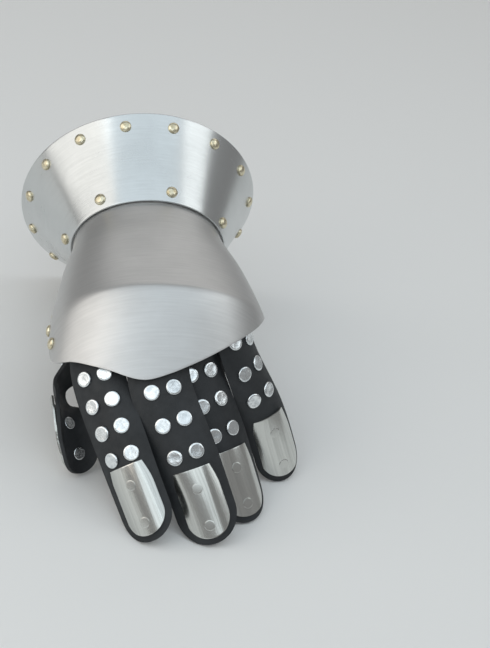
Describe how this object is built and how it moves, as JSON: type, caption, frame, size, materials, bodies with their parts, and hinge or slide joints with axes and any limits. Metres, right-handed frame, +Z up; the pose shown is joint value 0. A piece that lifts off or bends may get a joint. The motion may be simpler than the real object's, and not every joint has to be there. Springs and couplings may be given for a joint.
{
  "type": "armoured gauntlet",
  "caption": "Steel hourglass gauntlet for the left hand, with a flared riveted cuff, a ridged hand plate and riveted leather finger and thumb strips ending in steel tip plates.",
  "frame": {"origin": "middle of the base of the gauntlet's box, on the surface it lies on", "axes": "+Z up, +Y from the fingertips to the cuff, so the fingers point to -Y and the thumb is on -X"},
  "size_m": [0.1544, 0.2622, 0.1432],
  "materials": {
    "steel": "satin polished, fine brushing, bare",
    "brass": "polished dome heads, lightly tarnished",
    "leather": "black, smooth, low sheen",
    "nickel": "bright nickel cap, slightly hammered"
  },
  "bodies": {
    "root": {"cuff": "steel", "hand_plate": "steel", "notch_band": "leather", "index_strip": "leather", "middle_strip": "leather", "ring_strip": "leather", "little_strip": "leather", "thumb_strip": "leather", "index_tip": "steel", "middle_tip": "steel", "ring_tip": "steel", "little_tip": "steel", "thumb_tip": "steel", "rim_rivet_01": "brass", "rim_rivet_02": "brass", "rim_rivet_03": "brass", "rim_rivet_04": "brass", "rim_rivet_05": "brass", "rim_rivet_06": "brass", "rim_rivet_07": "brass", "rim_rivet_08": "brass", "rim_rivet_09": "brass", "rim_rivet_10": "brass", "rim_rivet_11": "brass", "rim_rivet_12": "brass", "rim_rivet_13": "brass", "rim_rivet_14": "brass", "rim_rivet_15": "brass", "index_disc_1": "nickel", "index_disc_2": "nickel", "index_disc_3": "nickel", "index_disc_4": "nickel", "index_disc_5": "nickel", "index_disc_6": "nickel", "index_disc_7": "nickel", "index_disc_8": "nickel", "middle_disc_1": "nickel", "middle_disc_2": "nickel", "middle_disc_3": "nickel", "middle_disc_4": "nickel", "middle_disc_5": "nickel", "middle_disc_6": "nickel", "ring_disc_1": "nickel", "ring_disc_2": "nickel", "ring_disc_3": "nickel", "ring_disc_4": "nickel", "ring_disc_5": "nickel", "ring_disc_6": "nickel", "little_disc_1": "nickel", "little_disc_2": "nickel", "little_disc_3": "nickel", "little_disc_4": "nickel", "little_disc_5": "nickel", "little_disc_6": "nickel", "thumb_disc_1": "nickel", "thumb_disc_2": "nickel"}
  },
  "joints": []
}
